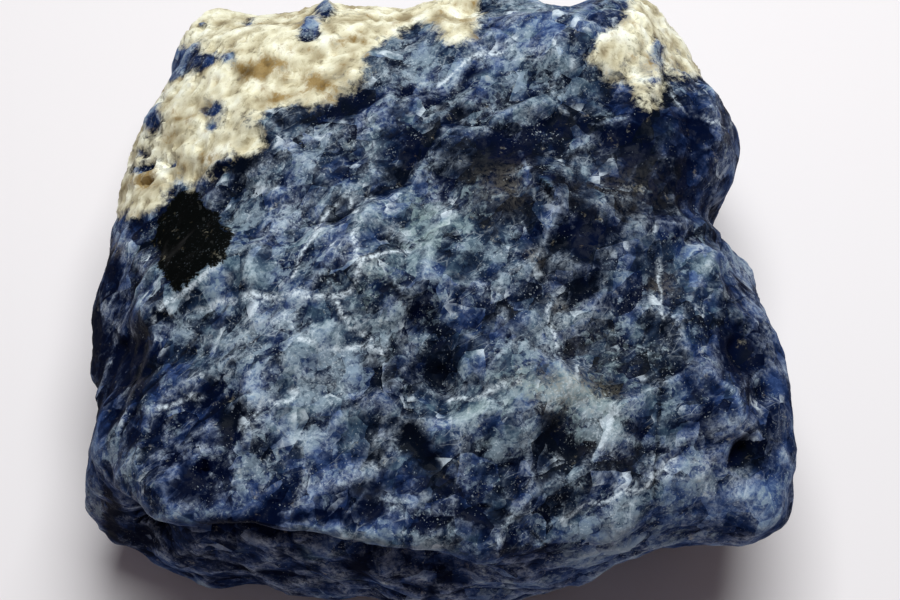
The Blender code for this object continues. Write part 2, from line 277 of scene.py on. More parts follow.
def octaves(points, size, count, seed):
    # noise at a size, then at half of it and half as strong, and so on
    return sum(lumps(points, size / 2**i, seed + i) / 2**i for i in range(count))


def centres(points, size, seed):
    # one scattered centre for each cell near each point: the square of its distance in cells, the rise
    # from it along its own lean, and its own numbers from 0 to 1
    scaled = points / size
    home = np.floor(scaled).astype(np.int64)
    for step in itertools.product((-1, 0, 1), repeat=3):
        cells = home + step
        away = scaled - cells - scatter(cells, seed)
        lean = scatter(cells, seed + 500) - 0.5
        yield (away**2).sum(axis=1), (away * lean).sum(axis=1), scatter(cells, seed + 900)


def chips(points, size, seed):
    # tilted flats: each scattered centre has its own lean and level, blended by nearness
    total = np.zeros(len(points))
    weight = np.full(len(points), 1e-12)
    for apart, rise, own in centres(points, size, seed):
        near = np.exp(-stone["chipSharpness"] * apart)
        total += near * (0.5 * (own[:, 0] - 0.5) + rise)
        weight += near
    return total / weight


def facets(points, size, crease, seed):
    # tilted shallow bowls about scattered centres: each point takes the lowest of them, so they meet in
    # sharp creases. It gives the height, how far the next bowl is above it, and a tone for each
    lowest = np.full(len(points), 9.0)
    second = np.full(len(points), 9.0)
    tone = np.zeros(len(points))
    for apart, rise, own in centres(points, size, seed):
        bowl = crease * (rise + skin["step"] * (own[:, 0] - 0.5)) + skin["bowl"] * apart
        lower = bowl < lowest
        second = np.where(lower, lowest, np.minimum(second, bowl))
        tone = np.where(lower, own[:, 1], tone)
        lowest = np.where(lower, bowl, lowest)
    return crease * lowest, second - lowest, tone


def roundTable(pairs, bearing, smoothing=5.0):
    # a value at each bearing: straight lines between the pairs, smoothed by a bell-shaped window
    degrees = np.arange(360.0)
    known = np.array(pairs)
    values = np.interp(degrees, known[:, 0], known[:, 1], period=360)
    window = np.exp(-0.5 * (np.minimum(degrees, 360 - degrees) / smoothing) ** 2)
    smooth = np.fft.ifft(np.fft.fft(values) * np.fft.fft(window / window.sum())).real
    return np.interp(np.degrees(bearing), degrees, smooth, period=360)


def outlineRadius(bearing, smoothing):
    outline = np.array(stone["belt"])
    turns = np.degrees(np.arctan2(outline[:, 1], outline[:, 0]))
    return roundTable(np.stack([turns, np.hypot(*outline.T)], axis=1), bearing, smoothing)


def topHeight(x, y):
    # the lowest of the sloping breaks, blended where they meet, plus bell-shaped rises and hollows
    levels = [np.full_like(x, stone["height"])]
    for _, at, downhill, fall in stone["topBreaks"]:
        levels.append(stone["height"] - fall * alongAcross(x - at[0], y - at[1], downhill)[0])
    soft = stone["breakRounding"]
    lowest = -soft * np.log(sum(np.exp(-level / soft) for level in levels))
    for _, at, reach, degrees, rise in stone["topForms"]:
        lowest = lowest + rise * bell(x - at[0], y - at[1], reach, degrees)
    return lowest


def cutBack(points):
    # slices the sides along their flat breaks: what stands over a plane is pushed back onto it
    middle = np.array([0.0, 0.0, stone["beltHeight"]])
    soft = stone["sideBreakRounding"]
    for _, bearing, tiltDegrees, distance in stone["sideBreaks"]:
        turn, tilt = np.radians(bearing), np.radians(tiltDegrees)
        facing = np.array([np.cos(turn) * np.cos(tilt), np.sin(turn) * np.cos(tilt), np.sin(tilt)])
        over = soft * np.logaddexp(0.0, ((points - middle) @ facing - distance) / soft)
        points = points - over[:, None] * facing
    return points


def sideRelief(bearing, height):
    # bell-shaped rises and hollows, by bearing and by height
    total = np.zeros_like(bearing)
    for _, at, level, reach, climb, rise in stone["sideForms"]:
        turn = (np.degrees(bearing) - at + 180) % 360 - 180
        total += rise * bell(turn, height - level - climb * turn, reach, 0)
    return total


def alongGrain(points, stretch):
    # turns the stone's grain to the x axis and shortens it there, so that noise is drawn out along it
    along, across = alongAcross(points[:, 0], points[:, 1], stone["grainTurn"])
    return np.stack([along / stretch, across, points[:, 2]], axis=1)


def stoneForm(block):
    # squares of the block become rings of the outline, its edges are rounded as a superellipse, and
    # the lumps and chips are added square to that form
    warped = np.tan(block[:, :2] * np.pi / 4)
    bearing = np.arctan2(warped[:, 1], warped[:, 0])
    ring = np.abs(block[:, :2]).max(axis=1)
    level = block[:, 2]
    square = roundTable(stone["edgeSquareness"], bearing)
    shrink = (ring**square + np.abs(level) ** square) ** (-1 / square)
    ring, level = ring * shrink, level * shrink
    crest = roundTable(stone["crestInset"], bearing)
    foot = roundTable(stone["footInset"], bearing)
    low = np.clip(-level, 0, 1)
    turned = bearing + np.radians(roundTable(stone["outlineLean"], bearing)) * level
    radius = outlineRadius(turned, stone["beltSmoothing"]) * (1 - low)
    radius += outlineRadius(turned, stone["footSmoothing"]) * low
    radius -= np.where(level > 0, crest, foot) * level**2
    outward = np.stack([np.cos(bearing), np.sin(bearing)], axis=1)
    x, y = (outward * (ring * radius)[:, None]).T
    depth = stone["beltHeight"] + stone["restingSkim"] - stone["bellyLift"] * ring**4
    up = level * np.where(level > 0, topHeight(x, y) - stone["beltHeight"], depth)
    plain = cutBack(np.stack([x, y, stone["beltHeight"] + up], axis=1))

    sideways = (ring ** (square - 1))[:, None] * outward / stone["typicalRadius"]
    upright = np.sign(level) * np.abs(level) ** (square - 1) / stone["typicalHalfHeight"]
    squareTo = np.concatenate([sideways, upright[:, None]], axis=1)
    squareTo /= np.linalg.norm(squareTo, axis=1)[:, None]
    sideShare = np.linalg.norm(squareTo[:, :2], axis=1) ** 2
    relief = sum(high * lumps(plain, size, seed) for size, high, seed in stone["lumps"])
    drawnOut = alongGrain(plain, stone["grainStretch"])
    relief += sum(high * chips(drawnOut, size, seed) for size, high, seed in stone["chips"])
    relief *= 1 - stone["sideCalm"] * sideShare
    relief += sideShare * sideRelief(bearing, plain[:, 2])
    return plain + squareTo * relief[:, None], squareTo


def blockGrid(topSquares, sideSquares, underSquares):
    # a cube's surface in squares: a fine top, rows down the sides, and a coarser underside whose
    # outer faces take in the finer points along its rim
    n, k = topSquares, underSquares
    along = np.linspace(-1, 1, n + 1)
    topIndex = np.arange((n + 1) ** 2).reshape(n + 1, n + 1)  # [i along x, j along y]
    top = np.stack([*np.meshgrid(along, along, indexing="ij"), np.ones((n + 1, n + 1))], axis=-1)
    rim = np.concatenate([topIndex[:n, 0], topIndex[n, :n], topIndex[n:0:-1, n], topIndex[0, n:0:-1]])
    points = [top.reshape(-1, 3)]
    share = np.linspace(0, 1, sideSquares + 1)[1:]
    levels = 1 - 2 * (0.55 * share + 0.45 * share**2)  # closer rows near the top
    rows = [rim]
    count = (n + 1) ** 2
    for level in levels:
        ring = points[0][rim].copy()
        ring[:, 2] = level
        points.append(ring)
        rows.append(np.arange(count, count + 4 * n))
        count += 4 * n
    rows = np.array(rows)
    coarse = np.linspace(-1, 1, k + 1)
    under = np.stack([*np.meshgrid(coarse, coarse, indexing="ij"), -np.ones((k + 1, k + 1))], axis=-1)
    underIndex = np.full((k + 1, k + 1), -1)
    underIndex[1:k, 1:k] = np.arange(count, count + (k - 1) ** 2).reshape(k - 1, k - 1)
    points.append(under[1:k, 1:k].reshape(-1, 3))
    step = n // k
    foot = rows[-1]

    quads = [np.stack([topIndex[:-1, :-1], topIndex[1:, :-1], topIndex[1:, 1:], topIndex[:-1, 1:]], axis=-1)]
    following = np.roll(rows, -1, axis=1)
    quads.append(np.stack([rows[:-1], rows[1:], following[1:], following[:-1]], axis=-1))
    inner = underIndex[1:k, 1:k]
    quads.append(np.stack([inner[:-1, :-1], inner[:-1, 1:], inner[1:, 1:], inner[1:, :-1]], axis=-1))
    faces = [quad for group in quads for quad in group.reshape(-1, 4).tolist()]
    border = [inner[:, 0], inner[-1, :], inner[::-1, -1], inner[0, ::-1]]
    for side in range(4):
        start = side * n
        corner = [int(foot[(start + i) % (4 * n)]) for i in range(-step, step + 1)]
        faces.append([int(border[side][0])] + corner[::-1])
        for cell in range(1, k - 1):
            edge = foot[start + cell * step:start + (cell + 1) * step + 1].tolist()
            faces.append([int(border[side][cell - 1]), int(border[side][cell])] + edge[::-1])
    return np.concatenate(points), faces


# where the stone's minerals lie, in pixels of the photograph, read off it. A spot is its place,
# its half-lengths along and across, its turn in degrees (anticlockwise) and its amount

# the dark places below are partly black rock and partly painted shade in hollows, under the ledge and on the
# sides
minerals = {
    # outlines of the pale calcite, along the back left and on the back right
    "calcite": [
        [(128, 216), (158, 208), (168, 194), (184, 184), (193, 188), (204, 177), (221, 164), (236, 156),
         (254, 153), (262, 147), (256, 128), (273, 115), (306, 107), (326, 100), (345, 92), (357, 86),
         (366, 70), (371, 56), (379, 45), (398, 34), (415, 24), (432, 27), (445, 43), (461, 44), (470, 36),
         (478, 18), (488, -60), (120, -60), (60, 60), (60, 216), (108, 212)],
        [(590, 57), (593, 44), (604, 34), (621, 30), (627, 10), (632, -60), (800, -60), (800, 84), (706, 76),
         (686, 80), (670, 78), (666, 92), (652, 107), (638, 101), (627, 88), (609, 77)],
    ],
    "blueInCalcite": [  # blue islands within the calcite
        (184, 62, 19, 12, 24, 1.6), (207, 62, 12, 5, 20, 0.95), (176, 76, 14, 5, 28, 1),
        (229, 61, 8, 6, 0, 0.75), (248, 23, 6, 6, 0, 0.85), (309, 32, 11, 8, 30, 1.2),
        (327, 17, 9, 8, 40, 1), (212, 109, 9, 10, 60, 1.1), (210, 127, 8, 5, 0, 0.85),
        (156, 120, 16, 8, 62, 1), (143, 152, 9, 6, 20, 0.7), (141, 167, 13, 4, 25, 1.2),
        (172, 166, 6, 5, 0, 0.8), (655, 55, 6, 9, 20, 0.8), (203, 27, 5, 3, 0, 0.8),
        (650, 74, 34, 28, 0, 0.46), (240, 120, 22, 12, 20, 0.25),
    ],
    "stain": [  # tan and brown in the calcite, most of it along a band through its middle
        (268, 67, 28, 9, 14, 0.9), (243, 70, 14, 7, 0, 0.5), (319, 85, 16, 7, -22, 1),
        (284, 97, 26, 6, 10, 0.6), (287, 19, 7, 4, 0, 0.55), (343, 42, 16, 5, 18, 0.6),
        (205, 160, 14, 8, 20, 0.6), (179, 120, 6, 5, 0, 0.6), (172, 137, 12, 6, 0, 0.5),
        (147, 180, 12, 9, 30, 0.9), (440, 22, 26, 6, 10, 0.35), (640, 70, 14, 8, 30, 0.45),
    ],
    "black": [  # outline of the glassy black patch
        (184, 184), (198, 195), (212, 210), (231, 233), (228, 250), (214, 262), (190, 280), (178, 298),
        (168, 280), (160, 265), (153, 236), (158, 215), (168, 200),
    ],
    "dark": [  # smaller black and nearly black places, and painted shade in the pits, the valley, under the ledge and on the sides
        # painted shade in the pits of the right lobe, and in a small one on the left
        (741, 350, 18, 22, 10, 1.35), (741, 451, 14, 18, 10, 1), (205, 468, 9, 8, 0, 0.8),
        # beside the calcite and above the black patch
        (222, 172, 26, 6, 12, 1), (137, 226, 9, 8, 0, 0.9), (258, 140, 12, 9, 30, 0.8),
        (345, 104, 26, 7, 22, 0.6), (640, 108, 24, 16, 0, 0.45), (258, 162, 24, 12, 20, 0.45),
        (352, 118, 18, 10, -20, 0.5), (643, 108, 14, 12, 0, 0.5), (662, 104, 40, 14, -20, 0.6),
        # the diagonal valley, and beside it: painted shade, with some dark rock
        (480, 200, 26, 22, 0, 0.35), (430, 108, 14, 10, 40, 0.35), (466, 112, 20, 12, 40, 0.4),
        (480, 215, 20, 30, 0, 0.3), (412, 158, 42, 7, 48, 1.15), (452, 150, 34, 30, 40, 0.5),
        (470, 76, 22, 6, 42, 0.7),
        # the black hollow, the greenish black and the middle: black rock, with painted shade in the black
        # hollow
        (437, 372, 20, 15, -20, 0.48), (400, 378, 22, 14, 0, 0.45), (440, 480, 44, 20, -20, 0.3),
        (422, 452, 30, 12, -58, 1.1), (549, 428, 24, 13, -60, 0.66), (384, 392, 14, 22, 0, 0.5),
        (490, 378, 24, 24, 0, 0.55), (372, 355, 18, 14, 0, 0.3), (455, 350, 18, 14, 0, 0.3),
        (545, 472, 18, 12, 0, 0.35), (592, 245, 22, 44, 0, 0.45), (492, 150, 24, 14, 40, 0.7),
        (497, 175, 22, 18, 0, 0.6), (590, 128, 40, 12, -10, 0.55), (478, 322, 40, 20, 0, 0.15),
        (585, 235, 48, 26, 0, 0.5), (398, 300, 30, 8, -40, 0.5),
        # painted shade under the ledge, on the front face and at its corners
        (132, 552, 22, 14, -30, 0.7), (720, 560, 60, 14, 20, 0.8), (325, 512, 54, 16, 0, 0.55),
        (330, 425, 26, 12, 0, 0.35), (360, 488, 44, 10, 10, 0.3), (362, 492, 22, 14, 0, 0.35),
        (235, 522, 110, 7, 2, 0.7), (185, 496, 60, 12, 0, 0.35), (361, 570, 16, 14, 0, 0.9),
        (260, 545, 110, 16, 0, 0.1), (190, 575, 70, 10, -12, 0.2), (121, 510, 6, 26, 24, 0.9),
        (745, 535, 28, 8, 28, 0.5), (470, 520, 30, 8, -30, 0.5),
        # painted shade on the left side
        (226, 420, 26, 14, -60, 0.9), (165, 470, 40, 34, 0, 0.25), (100, 350, 10, 60, 0, 0.5),
        (140, 365, 18, 34, 10, 0.65), (108, 350, 16, 110, 3, 0.2), (186, 482, 24, 20, 0, 0.4),
        (112, 262, 8, 22, 0, 0.6), (112, 420, 10, 24, 0, 0.5),
        # right side, the notch and the lobe: painted shade in the notch, at the lobe's foot and on the right
        # side, with some dark rock
        (735, 290, 12, 14, 0, 0.4), (560, 190, 18, 14, 0, 0.5), (758, 522, 18, 14, 20, 0.4),
        (640, 140, 34, 22, 0, 0.6), (655, 190, 40, 44, 0, 0.6), (695, 140, 24, 50, 10, 0.6),
        (784, 420, 12, 60, 0, 0.15), (715, 375, 34, 50, 0, 0.3), (655, 330, 16, 40, 0, 0.35),
        (718, 232, 12, 18, 0, 0.6), (600, 470, 14, 20, 0, 0.4),
        # painted shade in the folds and at the foot of the swell
        (335, 412, 36, 7, 14, 0.55), (572, 454, 14, 9, -30, 0.35), (590, 290, 26, 22, 0, 0.45),
        (555, 212, 34, 16, 0, 0.3), (682, 478, 24, 10, 0, 0.25), (515, 160, 16, 14, 0, 0.7),
    ],
    "pits": [  # small rounded holes, darkened inside as painted shade: two in the right lobe, and three on the left and in the middle
        (741, 350, 18, 22, 10, 0.8), (741, 451, 14, 18, 10, 0.8), (205, 468, 8, 7, 0, 0.8),
        (437, 372, 17, 12, -20, 0.5), (147, 182, 7, 5, 0, 0.7),
    ],
    "fuller": [  # where the sides stand out a little more: right lobe, left wall, and the two front corners
        (782, 355, 26, 62, 0, 1), (98, 358, 24, 74, 0, 1), (98, 396, 18, 30, 0, 1.2),
        (136, 540, 58, 28, -33, 2.6), (754, 524, 48, 32, 32, 3.6),
    ],
    "worn": [  # smooth, rubbed edges: the right lobe's, the upper right, the left, and the lobe's foot
        (784, 390, 26, 120, 0, 1), (728, 150, 18, 70, 0, 0.8), (92, 400, 14, 110, 0, 0.6),
        (760, 530, 40, 26, 30, 0.7),
    ],
    "frost": [  # whitish haze of bruised flats
        # the frosted swell, and beside it
        (330, 366, 78, 40, 18, 0.7), (332, 352, 34, 16, 12, 0.45), (300, 432, 60, 20, 14, 0.45),
        (268, 320, 40, 22, 20, 0.4), (262, 345, 16, 18, 0, 0.5), (340, 440, 24, 16, 0, 0.35),
        # the facets and pale seams of the left half
        (236, 465, 20, 30, 15, 0.4), (290, 245, 60, 26, 30, 0.25), (305, 155, 42, 20, 18, 0.45),
        (240, 218, 22, 16, 20, 0.5), (212, 304, 24, 10, 10, 0.5), (700, 110, 26, 6, -40, 0.3),
        (205, 345, 30, 26, 30, 0.25), (205, 308, 20, 12, 10, 0.6), (246, 462, 20, 16, 0, 0.5),
        (320, 140, 24, 10, 20, 0.3), (238, 203, 18, 12, 10, 0.35), (315, 265, 18, 20, 20, 0.5),
        (270, 212, 40, 14, 10, 0.3),
        # the fibres, the valley and the back
        (445, 215, 60, 34, 36, 0.45), (405, 262, 34, 18, 36, 0.3), (505, 78, 44, 18, 14, 0.65),
        (560, 40, 44, 26, 10, 0.25), (425, 62, 30, 20, 30, 0.55), (520, 8, 40, 12, 0, 0.45),
        (470, 120, 26, 22, 40, 0.3), (484, 408, 44, 8, 32, 0.6), (611, 122, 12, 8, 50, 0.7),
        (385, 62, 24, 20, 50, 0.45), (485, 262, 22, 16, 36, 0.45), (525, 225, 18, 14, 0, 0.3),
        (420, 66, 26, 12, 30, 0.35),
        # the beige haze, the vein field and beside the blacks
        (562, 400, 40, 16, -8, 1), (605, 440, 22, 22, -40, 0.45), (470, 375, 40, 20, 10, 0.35),
        (585, 330, 70, 34, -10, 0.35), (500, 470, 40, 22, 0, 0.2), (430, 385, 30, 8, 0, 0.25),
        (575, 425, 14, 22, 0, 0.3), (500, 455, 16, 16, 0, 0.3), (592, 440, 20, 28, 0, 0.65),
        (655, 335, 22, 26, 0, 0.45), (495, 440, 14, 22, 0, 0.4), (572, 425, 16, 14, 0, 0.35),
        (640, 358, 20, 18, 0, 0.3),
        # the ledge's lip, the front and the corners
        (270, 480, 70, 18, 4, 0.35), (572, 540, 30, 24, 20, 0.5), (760, 492, 26, 16, 30, 0.4),
        (104, 505, 12, 34, 30, 0.45), (210, 512, 90, 6, 3, 0.2), (400, 532, 70, 6, -22, 0.55),
        (500, 572, 50, 7, -16, 0.45), (580, 560, 60, 10, 14, 0.4), (140, 500, 50, 14, -8, 0.35),
        (640, 572, 60, 16, 10, 0.65), (495, 590, 40, 14, 0, 0.65),
        # the right lobe
        (640, 528, 84, 26, 18, 0.75), (700, 481, 26, 12, 8, 0.8), (744, 270, 34, 12, -52, 0.9),
        (700, 400, 44, 60, 0, 0.25), (715, 190, 10, 10, 0, 0.4), (783, 436, 10, 20, 0, 0.6),
        # the left edge
        (150, 450, 30, 40, 10, 0.25), (117, 235, 5, 46, 4, 0.35), (110, 450, 18, 40, 0, 0.8),
    ],
    "fibre": [  # drawn-out splinters, most of all on the upper middle
        (420, 235, 62, 46, 36, 1), (400, 120, 40, 24, 36, 0.7), (470, 130, 34, 26, 40, 0.6),
        (300, 160, 50, 26, 30, 0.4), (540, 90, 60, 40, 36, 0.5), (500, 320, 60, 40, 36, 0.3),
    ],
    "cobalt": [  # clear, deeper blue
        # within and beside the calcite
        (184, 62, 22, 16, 24, 0.7), (207, 60, 14, 7, 20, 1), (157, 120, 20, 12, 62, 0.7),
        # right side and lobe
        (779, 388, 14, 46, 0, 1.2), (722, 140, 14, 50, 0, 0.7), (700, 130, 26, 44, 0, 0.6),
        (755, 300, 22, 26, 0, 0.45), (780, 500, 22, 40, 0, 0.5), (640, 530, 110, 40, 14, 0.35),
        (725, 400, 60, 90, 0, 0.7), (690, 170, 40, 60, 0, 0.5), (600, 570, 90, 12, 12, 0.35),
        (706, 486, 16, 6, 0, 0.6),
        # left side, front and back
        (173, 366, 9, 6, 10, 1), (338, 250, 22, 34, 24, 0.55), (570, 20, 54, 28, 0, 0.5),
        (510, 25, 14, 12, 0, 0.6), (270, 480, 120, 38, 4, 0.8), (160, 450, 60, 60, 0, 0.6),
        (290, 240, 70, 40, 30, 0.3), (300, 515, 170, 16, -4, 0.8), (112, 320, 22, 70, 0, 0.7),
        (100, 430, 18, 60, 0, 0.8), (330, 400, 60, 40, 0, 0.2),
    ],
    "warm": [  # beige, brown and yellow tints in the blue: the beige haze in front, then single grains
        (566, 392, 46, 20, -8, 1.1), (604, 440, 22, 20, -40, 0.35), (664, 285, 14, 14, 0, 0.5),
        (536, 254, 7, 7, 0, 1), (558, 303, 6, 5, 0, 1), (500, 182, 24, 20, 0, 0.6),
        (620, 190, 50, 26, 0, 0.2), (118, 246, 10, 8, 0, 0.9), (102, 510, 12, 34, 30, 0.5),
        (700, 460, 18, 8, 0, 0.6), (365, 262, 16, 7, 0, 0.5), (575, 330, 60, 24, -20, 0.12),
        (256, 330, 30, 12, 40, 0.3),
    ],
    "olive": [  # greener grey: the fibres, the greenish black, and round the middle
        (425, 222, 64, 44, 36, 0.6), (562, 432, 30, 20, -60, 0.5), (390, 150, 40, 26, 36, 0.5),
        (378, 300, 34, 24, 0, 0.6), (500, 400, 60, 30, 30, 0.5), (610, 380, 50, 60, 0, 0.5),
        (200, 250, 30, 40, 0, 0.5),
    ],
    "seams": [  # pale seams: points along each, and its half-width
        ([(231, 233), (216, 262), (190, 287), (168, 304), (158, 318)], 2.4),
        ([(350, 193), (354, 230), (358, 266)], 1.2),
        ([(200, 306), (225, 297), (252, 294), (276, 298), (300, 293), (329, 300), (345, 296)], 2.2),
        ([(329, 300), (350, 290), (366, 262), (385, 252), (410, 250)], 2),
        ([(350, 196), (334, 214), (312, 238), (286, 282)], 1.4),
        ([(329, 302), (345, 318), (368, 340), (382, 356)], 1.6),
        ([(162, 409), (178, 401), (190, 396), (204, 398)], 1.6),
        ([(452, 402), (478, 398), (500, 386), (516, 376)], 2),
        ([(545, 300), (552, 330), (560, 352)], 1.6),
        ([(668, 80), (690, 108), (706, 120), (730, 127)], 1),
        ([(660, 262), (662, 300), (668, 340)], 1.4),
        ([(436, 84), (470, 62), (500, 50)], 1.4),
        ([(560, 520), (590, 505), (640, 490), (668, 470)], 1.6),
        ([(300, 345), (330, 350), (360, 346), (384, 356)], 2),
        ([(232, 430), (262, 408), (300, 396)], 1.6),
    ],
    "cracks": [  # thin dark cracks, in the same form
        ([(232, 300), (200, 330), (166, 369), (150, 386), (141, 402), (130, 424), (124, 437)], 1.1),
        ([(382, 356), (398, 372), (412, 392)], 1.6),
        ([(663, 365), (660, 400), (656, 440), (655, 500)], 2),
        ([(380, 262), (400, 300), (420, 330)], 1.4),
        ([(199, 196), (206, 222), (214, 246)], 0.8),
        ([(440, 470), (470, 500), (520, 520), (545, 545)], 1.6),
        ([(120, 330), (128, 360), (124, 400)], 1.4),
        ([(250, 396), (225, 402), (200, 420)], 1.8),
    ],
}

# how the minerals are laid on the stone
growth = {
    "depthCell": 6,  # pixels of the coarse depth picture
    "depthPicture": (1500, 1200, 300),  # its width, its height, and how far it reaches past the photo
    # mm behind the nearest surface where the places begin to fade, and over what depth they go
    "shown": (3.0, 7.0),
    "calciteGoesOn": (2.0, 22.0),
    # noises: size in mm, strength, seed, and for one how much it is flattened
    "ragged": [(3.2, 5.0, 61), (1.4, 3.0, 62)],  # moves the calcite's edge, in pixels
    "wobble": [(2.5, 3.0, 63), (2.5, 3.0, 64)],  # moves the places across and down, in pixels
    "bloom": [(11.0, 1.0, 70), (5.0, 0.5, 71)],  # frost and stains of the unseen sides
    "gloom": [(13.0, 1.0, 72), (6.0, 0.5, 73)],  # their dark places
    # a patch's field: over how many pixels its edge is soft, its limits, and what it is elsewhere. On the
    # unseen sides it goes on where its noises rise over a level, and by that rise times its steepness
    "calcite": {
        "soft": 8, "limits": (-1.2, 1.0), "elsewhere": -1.5,
        "noises": [(15.0, 1.0, 66, 1.6), (4.0, 0.35, 67)], "level": 0.62, "steepness": 5,
    },
    "black": {
        "soft": 7, "limits": (-2, 2), "elsewhere": -2,
        "noises": [(9.0, 1.0, 68), (3.0, 0.3, 69)], "level": 0.72, "steepness": 8,
    },
    # how many times the wobble moves the black patch, the cracks, and the seams and other places
    "wobbles": {"black": 2.5, "cracks": 0.5, "places": 2},
    # what the blue islands take from the calcite, and what they and the noises of the unseen sides add
    "islands": {"calcite": 2.2, "frost": 0.45, "cobalt": 1.3},
    "unseen": {"stain": 0.4, "dark": 0.9, "frost": 0.8, "fibre": 0.2},
    "most": {"dark": 1.4, "frost": 1.1},
    "darkInWarm": 0.7,  # how much of the warm tints the dark takes away
    "fibre": (0.10, 0.75),  # everywhere, and in the fibrous places
}


def spotField(pixels, spots):
    # the sum of the spots' bell shapes
    total = np.zeros(len(pixels))
    for x, y, *reach, degrees, amount in spots:
        total += amount * bell(pixels[:, 0] - x, y - pixels[:, 1], reach, degrees)
    return total


def fromSegment(points, a, b):
    # distance to the nearest place on the straight line from a to b
    run = b - a
    share = np.clip(((points - a) @ run) / (run @ run), 0, 1)
    return np.linalg.norm(points - a - share[:, None] * run, axis=1)


def outlineField(pixels, outline):
    # signed distance to a closed outline, in pixels, positive inside
    ends = np.array(outline, dtype=float)
    away = np.full(len(pixels), 1e9)
    inside = np.zeros(len(pixels), dtype=bool)
    for a, b in zip(np.roll(ends, 1, axis=0), ends):
        away = np.minimum(away, fromSegment(pixels, a, b))
        crosses = (a[1] > pixels[:, 1]) != (b[1] > pixels[:, 1])
        rise = b[1] - a[1] if b[1] != a[1] else 1e-9
        inside ^= crosses & (pixels[:, 0] < a[0] + (pixels[:, 1] - a[1]) * (b[0] - a[0]) / rise)
    return np.where(inside, away, -away)


def lineField(pixels, lines):
    # nearness to any of the lines, 1 on a line and falling off as a bell over its half-width
    total = np.zeros(len(pixels))
    for ends, width in lines:
        for a, b in itertools.pairwise(np.array(ends, dtype=float)):
            total = np.maximum(total, np.exp(-((fromSegment(pixels, a, b) / width) ** 2)))
    return total


def hiddenDepth(pixels, ahead):
    # how far each point lies behind the nearest surface at its pixel, from a coarse depth picture
    cell = growth["depthCell"]
    wide, high, margin = growth["depthPicture"]
    column = np.clip(((pixels[:, 0] + margin) // cell).astype(int), 0, wide // cell - 1)
    row = np.clip(((pixels[:, 1] + margin) // cell).astype(int), 0, high // cell - 1)
    nearest = np.full((wide // cell, high // cell), 1e9)
    np.minimum.at(nearest, (column, row), ahead)
    return ahead - nearest[column, row]


def mineralFields(points):
    pixels, ahead = photoPixels(points)
    hidden = hiddenDepth(pixels, ahead)
    shown, through = (np.exp(-((np.maximum(hidden - start, 0) / reach) ** 2))
                      for start, reach in (growth["shown"], growth["calciteGoesOn"]))
    unseen = 1 - shown

    def noises(settings):
        # each noise by its strength
        return [strength * lumps(points * [1, 1, *(flat or [1])], size, seed)
                for size, strength, seed, *flat in settings]

    def patch(kind, distance, share, taken=0):
        # a mineral's field, from its signed distance where it is seen, less what is taken from it
        rule = growth[kind]
        field = np.clip(distance / rule["soft"], *rule["limits"])
        field = field * share + rule["elsewhere"] * (1 - share) - taken
        more = (sum(noises(rule["noises"])) - rule["level"]) * rule["steepness"]
        return np.maximum(field, more * unseen + rule["elsewhere"] * (1 - unseen))

    wobble = np.stack(noises(growth["wobble"]), axis=1)
    forBlack, forCracks, forPlaces = (pixels + growth["wobbles"][name] * wobble
                                      for name in ("black", "cracks", "places"))
    islands = spotField(pixels + wobble, minerals["blueInCalcite"]) * shown
    calcite = np.maximum.reduce([outlineField(pixels, outline) for outline in minerals["calcite"]])
    bloom, gloom = (np.maximum(sum(noises(growth[name])), 0) for name in ("bloom", "gloom"))
    seen = {name: spotField(forPlaces, minerals[name]) * shown
            for name in ("dark", "frost", "cobalt", "warm", "olive", "fibre", "pits", "worn", "fuller")}
    extra, island, most = growth["unseen"], growth["islands"], growth["most"]
    stain = spotField(pixels + wobble, minerals["stain"]) * through + extra["stain"] * bloom * (1 - through)
    frost = seen["frost"] + island["frost"] * islands + extra["frost"] * bloom * unseen
    everywhere, fibrous = growth["fibre"]
    return seen | {
        "calcite": patch("calcite", calcite + sum(noises(growth["ragged"])), through,
                         island["calcite"] * islands),
        "black": patch("black", outlineField(forBlack, minerals["black"]), shown),
        "stain": stain,
        "dark": np.minimum(seen["dark"] + extra["dark"] * gloom * unseen, most["dark"]),
        "frost": np.minimum(frost, most["frost"]),
        "cobalt": seen["cobalt"] + island["cobalt"] * islands,
        "warm": seen["warm"] * (1 - growth["darkInWarm"] * sharpen(seen["dark"], 0.3, 1.0)),
        "pits": sharpen(seen["pits"], 0.25, 0.8),
        "worn": np.clip(seen["worn"], 0, 1),
        "fibre": everywhere + fibrous * seen["fibre"] + extra["fibre"] * unseen,
        "seam": lineField(forPlaces, minerals["seams"]) * shown,
        "crack": lineField(forCracks, minerals["cracks"]) * shown,
    }


# what the surface's fields are made of
blend = {
    # noises over the whole stone: size in mm, octaves, seed
    "noises": {
        "broad": (6.5, 3, 82), "bruised": (2.4, 2, 81), "patchy": (3.2, 2, 85),
        "lined": (1.9, 2, 87), "cloudy": (2.2, 3, 89), "grainy": (1.6, 2, 93),
    },
    # each field: what it starts from, and how much of each part it takes
    "fields": {
        # shade: lighter on rises and standing creases and darker in hollows, sunk creases and pits, as
        # painted light and shade, with the pale crests partly whitish bruising
        "shade": (0.362, {"pits": -0.5, "tone": 0.50, "broad": 0.15, "frost": 0.29, "dark": -0.64,
                          "ridge": 0.95, "swell": 0.10, "crest": 0.20, "steep": 0.02, "seam": 0.12}),
        "blueness": (0.31, {"patchy": 0.80, "cobalt": 1.1, "frost": -0.15, "steep": 0.9}),
        "haze": (0.05, {"frost": 0.75, "bruised": 0.45, "steep": -0.35, "dark": -0.55, "cobalt": -0.2}),
        # specks: white grains and painted glints
        "specksAndGlints": (0.0, {"frost": 0.09, "dark": -0.12, "bruised": 0.08, "steep": -0.04}),
        "matt": (0.0, {"steep": 0.35, "darkest": -0.15, "pits": 0.6}),
        # cloud: the calcite's proud grains are lighter by ridge, as painted light
        "cloud": (0.51, {"cloudy": 0.55, "ridge": 0.9}),
        "stain": (0.02, {"stain": 1.55, "grainy": 0.60}),
    },
    "asTheyAre": ("warm", "olive", "fibre", "crack", "black", "calcite"),
}


